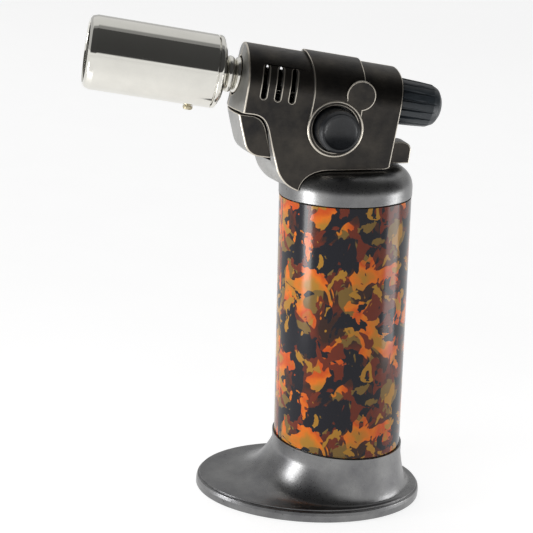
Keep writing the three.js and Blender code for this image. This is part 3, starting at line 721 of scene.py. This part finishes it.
def head_outline():
    points = [(HEAD_FRONT, 12.5), (HEAD_FRONT, FACE_LOW), (-30.4, -9.5)]
    points += bezier((-30.4, -9.5), (-27.4, -9.5), (-26.1, -11.2), (-24.9, -14.2))
    points.append((-20.9, -23.4))
    points += quadratic((-20.9, -23.4), (-18.6, -29.4), (-12.2, -30.4))
    points += [(-10.9, -30.2), (HEAD_REAR, -19.3), (HEAD_REAR, 6.5)]
    points += quadratic((HEAD_REAR, 6.5), (HEAD_REAR - 0.3, 11.0), (HEAD_REAR - 4.5, 12.5))
    return points


def smoothstep(value, low, high):
    """Rises from 0 at low to 1 at high."""
    t = min(1.0, max(0.0, (value - low) / (high - low)))
    return t * t * (3 - 2 * t)


def crown(x, z):
    """How far forwards a point of the side view moves at mid-width."""
    if x > NOSE_X:
        return 0.0
    on_face = z > FACE_LOW - 0.4
    if on_face:
        return (FACE_BULGE if z < 0 else TOP_BULGE) * smoothstep(-x, 29, 33)
    return CHIN_BULGE * smoothstep(-z, 17, 23) * smoothstep(-x, -NOSE_X, 17)


def head_block():
    """Copies of the side view at columns across the width, crowned at the front, and cut to the arch."""
    outline = head_outline()
    rings = []
    columns = 30
    for k in range(columns + 1):
        share = -1.1 + 2.2 * k / columns
        bow = max(0.0, 1 - share * share)
        rings.append([(x - crown(x, z) * bow, share * HALF_WIDTH, z) for x, z in outline])
    return combine(loft("head_block", rings), "INTERSECT", arch("arch_outside", 0, -40, 20))


def band_outline():
    """The side view of the raised band: its front edge sweeps down into the button's ring."""
    points = [(-17.4, 14), (-16.8, 11.3)]
    points += bezier((-16.8, 11.3), (-15.0, 8.4), (-13.9, 4.5), (-13.7, -1.3))
    points += bezier((-13.7, -1.3), (-13.65, -4.5), (-13.8, -7.5), (-14.0, BUTTON_Z), 8)
    points += [(2.0, BUTTON_Z), (1.8, -3.6)]
    points += bezier((1.8, -3.6), (1.75, 0.0), (1.8, 3.5), (1.6, 5.9), 8)
    points += bezier((1.6, 5.9), (1.45, 7.6), (1.0, 8.8), (0.9, 10.3), 8)
    points.append((0.7, 14))
    return points


def head_band():
    strap = combine(arch("strap", BAND_HEIGHT, -20, 8), "INTERSECT",
                    plate("strap_part", band_outline(), -20, 20))
    reach = HALF_WIDTH + BAND_HEIGHT
    ring = rod("ring", BUTTON_RING, -reach, reach, "Y", BUTTON_X, BUTTON_Z, 96)
    dot = rod("dot", DOT_RADIUS, -reach, reach, "Y", 0.6, 1.0, 72)
    return combine(strap, "UNION", ring, dot)


def head_inside():
    rear = HEAD_REAR - WALL
    outline = [(-31.2, 12), (rear, 12), (rear, -26), (-10.5, -33), (-14, -28.2),
               (-17.4, -26.2), (-19.0, -22.6), (-22.5, -14.5), (-24.5, -10.6), (-31.2, -7.8)]
    return combine(plate("inside", outline, -15, 15), "INTERSECT", arch("arch_inside", -WALL, -40, 20))


def slot_cutter(x):
    """An upright slot with round ends."""
    middle = 0.5
    half_turn = [math.pi * i / 12 for i in range(13)]
    outline = []
    for end in (1, -1):
        outline += [(x + end * SLOT_RADIUS * math.cos(a),
                     middle + end * (SLOT_HALF_LENGTH + SLOT_RADIUS * math.sin(a))) for a in half_turn]
    return plate("slot", outline, -15, 15)


def on_head_skin(middle):
    """True for points of the head's outside, and false for its inside and its windows."""
    skin = 0.6
    end = 0.2
    side = abs(middle.y) if middle.z < ARCH_Z else math.hypot(middle.y, middle.z - ARCH_Z)
    return side > HALF_WIDTH - skin or middle.x < HEAD_FRONT + end or middle.x > HEAD_REAR - end


def collar_cutter():
    """The collar's outside, larger by a gap all round."""
    radius = COLLAR_RADIUS + GAP
    top = COLLAR_TOP + GAP
    points = [(0, SLEEVE_TOP), (radius, SLEEVE_TOP)]
    for i in range(17):
        angle = math.pi / 2 * i / 16
        points.append((COLLAR_FLAT + (radius - COLLAR_FLAT) * math.cos(angle),
                       COLLAR_SHOULDER + (top - COLLAR_SHOULDER) * math.sin(angle)))
    points.append((0, top))
    return lathe("collar_cutter", points, segments=128)


def head_cutters():
    inner = HALF_WIDTH - WALL
    from_tank = HEAD.inverted() @ TANK
    return [slot_cutter(x) for x in SLOTS] + [
        rod("face_hole", 6.0, -40, -32.4, "X"),
        rod("neck_hole", MIXER_RADIUS + GAP, -34, -28, "X"),
        rod("knob_hole", 4.4, 8, 20, "X"),
        block("trigger_window", -40, -17.5, -inner, inner, -22.5, -9.5),
        moved(block("lock_window", -10, 30, -3.8, 3.8, 105, 118.4), from_tank),
        moved(collar_cutter(), from_tank),
        moved(rod("valve_hole", 9, 90, 112, "Z"), from_tank),
    ]


def head_shell(solid, side):
    """side is -1 for the left shell and 1 for the right one."""
    which = "left" if side < 0 else "right"
    shell = copy_of(solid, f"head_casting_{which}")
    reach = HALF_WIDTH - WALL + 0.5
    posts = [rod("post", 2.0, -reach, reach, "Y", x, z, 32) for x, z in SCREW_SITES]
    posts.append(block("rib", -15.1, -14.1, -reach, reach, -15.8, -10.4))
    combine(shell, "UNION", *posts)
    low, high = (-30, -GAP / 2) if side < 0 else (GAP / 2, 30)
    combine(shell, "INTERSECT", block("half", -60, 60, low, high, -60, 60))
    if side < 0:
        combine(shell, "DIFFERENCE", rod("button_hole", BUTTON_HOLE, -20, -6, "Y", BUTTON_X, BUTTON_Z, 96))
    for x, z in SCREW_SITES:
        combine(shell, "DIFFERENCE", rod("bore", 1.5, -8.5, 20, "Y", x, z, 32),
                rod("counterbore", 2.9, HALF_WIDTH - 1.4, 20, "Y", x, z, 48))
    soften(shell, 0.36, wanted=on_head_skin)
    silver_front(shell)
    place(shell, HEAD, "housing", "gunmetal", [f"head_shell_{which}"], GUNMETAL, POLISHED_AND_HIGHLIGHT, FRONT)


def make_head():
    solid = combine(head_block(), "UNION", head_band())
    combine(solid, "DIFFERENCE", head_inside(), *head_cutters())
    head_shell(solid, -1)
    head_shell(solid, 1)
    bpy.data.objects.remove(solid)


def make_head_screws():
    under = HALF_WIDTH - 1.1
    profile = rounded([(0, SCREW_END), (SCREW_SHANK, SCREW_END, 0.3), (SCREW_SHANK, under),
                       (SCREW_HEAD, under, 0.1), (SCREW_HEAD, HALF_WIDTH + 0.1, 0.25),
                       (1.6, HALF_WIDTH + 0.35), (0, HALF_WIDTH + 0.4)])
    for i, (x, z) in enumerate(SCREW_SITES):
        screw = lathe(f"cross_screw_{i + 1}", profile, "Y", 48)
        for long, short in ((1.5, 0.3), (0.3, 1.5)):
            combine(screw, "DIFFERENCE",
                    block("cross", -long, long, HALF_WIDTH - 0.6, HALF_WIDTH + 2, -short, short))
        shifted(screw, x, 0, z)
        place(screw, HEAD, "housing", "steel", [f"head_screw_{i + 1}"], STEEL)


# ---------- controls ----------
def make_trigger():
    outline = [(-34.4, -10.1), (-33.0, -13.9), (-31.1, -18.6)]
    outline += quadratic((-31.1, -18.6), (-29.8, -21.8), (-26.3, -22.0))
    outline += [(-22.1, -21.9), (-25.1, -14.4)]
    outline += quadratic((-25.1, -14.4), (-26.7, -10.1), (-30.2, -10.0))
    rings = []
    columns = 16
    for k in range(columns + 1):
        share = -1 + 2 * k / columns
        bow = TRIGGER_BULGE * (1 - share * share)
        rings.append([(x - bow * smoothstep(-x, 26, 30), share * TRIGGER_HALF_WIDTH, z) for x, z in outline])
    trigger = loft("trigger_casting", rings)
    wedge = [(-26, -19.6), (-3.0, -19.6), (5.0, -16.9), (5.0, -16.0), (-26, -16.0)]
    combine(trigger, "UNION", plate("wedge", wedge, -TRIGGER_WEDGE, TRIGGER_WEDGE))
    soften(trigger, 0.4, 3)
    silver_front(trigger)
    place(trigger, HEAD, "trigger_body", "gunmetal", ["trigger"], GUNMETAL, POLISHED_AND_HIGHLIGHT, FRONT)


def make_button_bezel():
    """The polished half-round ring that frames the button on the left shell."""
    face = -HALF_WIDTH - BAND_HEIGHT
    half = BEZEL_HALF_WIDTH
    middle = BUTTON_RING - half
    section = [(middle + half * math.cos(a), face - BEZEL_HEIGHT * math.sin(a))
               for a in (math.pi * i / 12 for i in range(13))]
    section += [(middle - half, face + 0.1), (middle + half, face + 0.1)]
    bezel = lathe("button_bezel", section, "Y", 128, closed=True)
    shifted(bezel, BUTTON_X, 0, BUTTON_Z)
    place(bezel, HEAD, "housing", "gunmetal", [], POLISHED_AND_HIGHLIGHT)


def make_button():
    face = BUTTON_FACE
    inner = 5.0
    dish = [(BUTTON_DISH * t, face + 1.5 - 1.1 * t ** 2) for t in (i / 12 for i in range(13))]
    side = rounded([dish[-1], (inner, face, 0.25), (5.55, face, 0.3), (BUTTON_RADIUS, face + 1.2, 0.5),
                    (BUTTON_RADIUS, FLANGE_FRONT, 0.2), (BUTTON_FLANGE, FLANGE_FRONT, 0.2),
                    (BUTTON_FLANGE, FLANGE_BACK, 0.2), (inner, FLANGE_BACK, 0.2), (inner, face + 3.0),
                    (0, face + 3.0)])
    button = lathe("button_cap", dish[:-1] + side, "Y", 96)
    shifted(button, BUTTON_X, 0, BUTTON_Z)
    place(button, HEAD, "button", "black_plastic", ["ignition_button"], BLACK)


def rib_radius(radius, along, angle):
    """Flutes between the knob's ribs, on its outside only."""
    if radius < 5.0 or along <= KNOB_FRONT + 1e-3:
        return min(radius, KNOB_HUB)
    flute = 0.5 - 0.5 * math.cos(angle * KNOB_RIBS)
    depth = 0.8 * smoothstep(flute, 0.72, 0.98)
    return min(radius, KNOB_RADIUS - depth)


def make_knob():
    outline = rounded([(KNOB_BORE, KNOB_FRONT), (KNOB_HUB, KNOB_FRONT), (KNOB_RADIUS, KNOB_FRONT + 0.8, 0.4),
                       (6.9, 21.5), (6.6, 25.6, 1.0), (5.6, 27.8, 2.0), (3.4, 29.2, 3.0), (0, KNOB_END)])
    fine = []
    for (r0, a0), (r1, a1) in zip(outline, outline[1:]):
        steps = max(1, int(math.hypot(r1 - r0, a1 - a0) / 0.5))
        fine += [(r0 + (r1 - r0) * k / steps, a0 + (a1 - a0) * k / steps) for k in range(steps)]
    fine.append(outline[-1])
    bore_end = 23
    profile = [(0, bore_end), (KNOB_BORE, bore_end)] + fine
    knob = lathe("ribbed_knob", profile, "X", KNOB_RIBS * 16, rib_radius)
    place(knob, HEAD, "knob", "knob_plastic", ["flow_knob"], KNOB, smooth_angle=40)


def make_lock_slide():
    outline = [(8.2, 110.4), (19.2, 110.4), (19.7, 114.6)]
    outline += quadratic((19.7, 114.6), (19.6, 117.2), (16.2, 117.3))
    outline.append((8.2, 117.3))
    tab = plate("lock_tab", outline, -3.5, 3.5)
    soften(tab, 0.35, 3)
    place(tab, TANK, "lock", "gunmetal", ["lock_slide"], GUNMETAL, POLISHED_AND_HIGHLIGHT)


# ---------- burner ----------
def make_neck():
    outline = [(MIXER_BORE, MIXER_REAR), (MIXER_RADIUS, MIXER_REAR),
               (MIXER_RADIUS, FIRST_BEAD + BEAD_PITCH / 2)]
    foot_radius = MIXER_RADIUS + 0.2  # where a bead starts, so that beads meet above the tube
    for bead in range(2):
        middle = FIRST_BEAD - bead * BEAD_PITCH
        for i in range(21):
            angle = math.pi * i / 20
            radius = foot_radius + (BEAD_RADIUS - foot_radius) * math.sin(angle)
            outline.append((radius, middle + (BEAD_PITCH / 2 - 0.03) * math.cos(angle)))
    outline += [(MIXER_RADIUS, -39.6), (MIXER_RADIUS, MIXER_MOUTH), (MIXER_BORE, MIXER_MOUTH)]
    neck = lathe("neck_tube", outline, "X", 96, closed=True)
    combine(neck, "DIFFERENCE", block("air_window", -27, -21.5, -1.6, 1.6, -8, 8))
    place(neck, HEAD, "housing", "chrome", ["mixer_tube"], CHROME)


def screw_hole():
    return shifted(rod("screw_hole", TUBE_SCREW_HOLE, -14, -7, "Z", segments=32), TUBE_SCREW_X, 0, 0)


def make_burner_cap():
    inner = MIXER_RADIUS + GAP
    bore = BURNER_BORE - GAP
    outline = rounded([
        (inner, CAP_REAR), (8.9, CAP_REAR, 0.6), (BURNER_RADIUS, CAP_REAR - 1.1, 1.3),
        (BURNER_RADIUS, BURNER_REAR + 0.4, 0.15), (bore, BURNER_REAR + 0.4), (bore, -52, 0.2),
        (8.7, -52), (8.7, -43.6, 0.3), (inner, -43.6),
    ], closed=True, steps=8)
    cap = lathe("burner_cap_chrome", outline, "X", 160, closed=True)
    combine(cap, "DIFFERENCE", screw_hole())
    place(cap, HEAD, "housing", "chrome", ["burner_cap"], CHROME)


def make_burner_tube():
    mouth = BURNER_MOUTH
    outline = rounded([
        (BURNER_BORE, BURNER_REAR), (BURNER_RADIUS, BURNER_REAR, 0.2), (BURNER_RADIUS, mouth + 2.4, 1.2),
        (10.5, mouth + 0.8, 0.6), (9.4, mouth, 0.4), (8.9, mouth + 0.6, 0.3), (9.7, mouth + 1.4, 0.4),
        (BURNER_BORE, mouth + 2.8, 0.4),
    ], closed=True, steps=6)
    tube = lathe("burner_tube_chrome", outline, "X", 160, closed=True)
    combine(tube, "DIFFERENCE", screw_hole())
    place(tube, HEAD, "housing", "chrome", ["burner_tube"], CHROME)


def make_flame_holder():
    centre = 2.5
    outside = BURNER_BORE - GAP
    section = rounded([(centre, DISC_FRONT, 0.2), (outside, DISC_FRONT, 0.3), (outside, DISC_REAR, 0.2),
                       (centre, DISC_REAR, 0.2)], closed=True, steps=3)
    disc = lathe("perforated_disc", section, "X", 96, closed=True)
    for i in range(DISC_HOLES):
        angle = 2 * math.pi * i / DISC_HOLES
        hole = rod("hole", HOLE_RADIUS, DISC_FRONT - 2, DISC_REAR + 2.4, "X", segments=24)
        shifted(hole, 0, HOLE_CIRCLE * math.sin(angle), HOLE_CIRCLE * math.cos(angle))
        combine(disc, "DIFFERENCE", hole)
    place(disc, HEAD, "housing", "steel", ["flame_holder"], STEEL)


def make_tube_screw():
    profile = rounded([(0, -12.4), (1.2, -12.4, 0.15), (1.5, -12.0, 0.15), (1.5, -11.3, 0.1), (0.8, -11.3),
                       (0.8, -8.9, 0.1), (0, -8.9)])
    screw = lathe("tube_screw_brass", profile, "Z", 48)
    combine(screw, "DIFFERENCE", block("screw_slot", -2, 2, -0.2, 0.2, -13, -12.1))
    shifted(screw, TUBE_SCREW_X, 0, 0)
    place(screw, HEAD, "housing", "brass", ["tube_screw"], PALE_BRASS)


# ---------- stage ----------
def make_floor():
    far = FLOOR_REACH
    corners = [(-far, -far, 0), (far, -far, 0), (far, far, 0), (-far, far, 0)]
    floor = new_object("floor", corners, [[0, 1, 2, 3]])
    shader = Shader("floor_paper", (0.4, 0.4, 0.4), 0.8)
    fine = shader.noise(shader.position(), 0.02, 3, 0.5)
    shader.set("Base Color", shader.ramp(fine, (0.3, 0.38), (0.7, 0.40)))
    shader.bsdf.inputs["Emission Color"].default_value = (1, 1, 1, 1)
    shader.bsdf.inputs["Emission Strength"].default_value = FLOOR_GLOW
    floor.data.materials.append(shader.material)


def area_light(name, position, target, size, power, in_reflections=True):
    data = bpy.data.lights.new(name, "AREA")
    data.shape = "RECTANGLE"
    data.size, data.size_y = size
    data.energy = power
    light = bpy.data.objects.new(name, data)
    light.location = position
    light.visible_glossy = in_reflections
    light.rotation_mode = "QUATERNION"
    light.rotation_quaternion = (Vector(target) - Vector(position)).to_track_quat("-Z", "Y")
    bpy.context.scene.collection.objects.link(light)


def world_ramp(tree, factor, stops):
    made = tree.nodes.new("ShaderNodeValToRGB")
    while len(made.color_ramp.elements) < len(stops):
        made.color_ramp.elements.new(1.0)
    for element, (at, value) in zip(made.color_ramp.elements, stops):
        element.position = at
        element.color = (value, value, value, 1)
    tree.links.new(factor, made.inputs["Fac"])
    return made.outputs["Color"]


def make_world():
    """A studio of soft light: dim on the near side, bright on the far side, pale all round the horizon."""
    world = bpy.data.worlds.new("studio")
    world.use_nodes = True
    bpy.context.scene.world = world
    tree = world.node_tree
    coords = tree.nodes.new("ShaderNodeTexCoord")
    parts = tree.nodes.new("ShaderNodeSeparateXYZ")
    tree.links.new(coords.outputs["Generated"], parts.inputs[0])
    depth = tree.nodes.new("ShaderNodeMath")
    depth.operation = "MULTIPLY_ADD"
    tree.links.new(parts.outputs["Y"], depth.inputs[0])
    depth.inputs[1].default_value = 0.5
    depth.inputs[2].default_value = 0.5
    room = world_ramp(tree, depth.outputs[0], ROOM_LIGHT)
    horizon = world_ramp(tree, parts.outputs["Z"], HORIZON_LIGHT)
    lighter = tree.nodes.new("ShaderNodeMath")
    lighter.operation = "MAXIMUM"
    tree.links.new(room, lighter.inputs[0])
    tree.links.new(horizon, lighter.inputs[1])
    tree.links.new(lighter.outputs[0], tree.nodes["Background"].inputs["Color"])
    tree.nodes["Background"].inputs["Strength"].default_value = 1.0


def make_camera():
    heading = Vector((-math.sin(CAMERA_YAW), -math.cos(CAMERA_YAW), 0))
    back = heading * math.cos(CAMERA_PITCH) + Vector((0, 0, math.sin(CAMERA_PITCH)))
    right = Vector((math.cos(CAMERA_YAW), -math.sin(CAMERA_YAW), 0))
    up = back.cross(right)
    side = math.cos(CAMERA_ROLL) * right + math.sin(CAMERA_ROLL) * up
    top = -math.sin(CAMERA_ROLL) * right + math.cos(CAMERA_ROLL) * up
    data = bpy.data.cameras.new("camera")
    data.sensor_width = 36.0
    data.lens = CAMERA_LENS
    camera = bpy.data.objects.new("camera", data)
    turn = Matrix((side, top, back)).transposed().to_4x4()
    camera.matrix_world = Matrix.Translation(CAMERA_PLACE) @ turn
    bpy.context.scene.collection.objects.link(camera)
    bpy.context.scene.camera = camera


make_camera()
make_world()
make_floor()
area_light("key", (-0.5, -0.45, 0.8), (0, 0, 0.08), (0.8, 0.8), 2.0, in_reflections=False)
area_light("top", (0.1, 0.60, 1.3), (0, 0, 0.05), (2.4, 1.6), 2.6)
area_light("left_strip", (-0.19, -0.05, 0.05), (0.005, 0, 0.05), (0.055, 0.10), 0.20)
area_light("right_strip", (0.21, -0.05, 0.05), (0.005, 0, 0.05), (0.10, 0.10), 0.12)
bpy.context.scene.view_settings.view_transform = "Standard"

finish_cad_nodes()
make_foot()
make_foot_pad()
make_sleeve()
make_collar()
make_head()
make_head_screws()
make_trigger()
make_button_bezel()
make_button()
make_knob()
make_lock_slide()
make_neck()
make_burner_cap()
make_burner_tube()
make_flame_holder()
make_tube_screw()
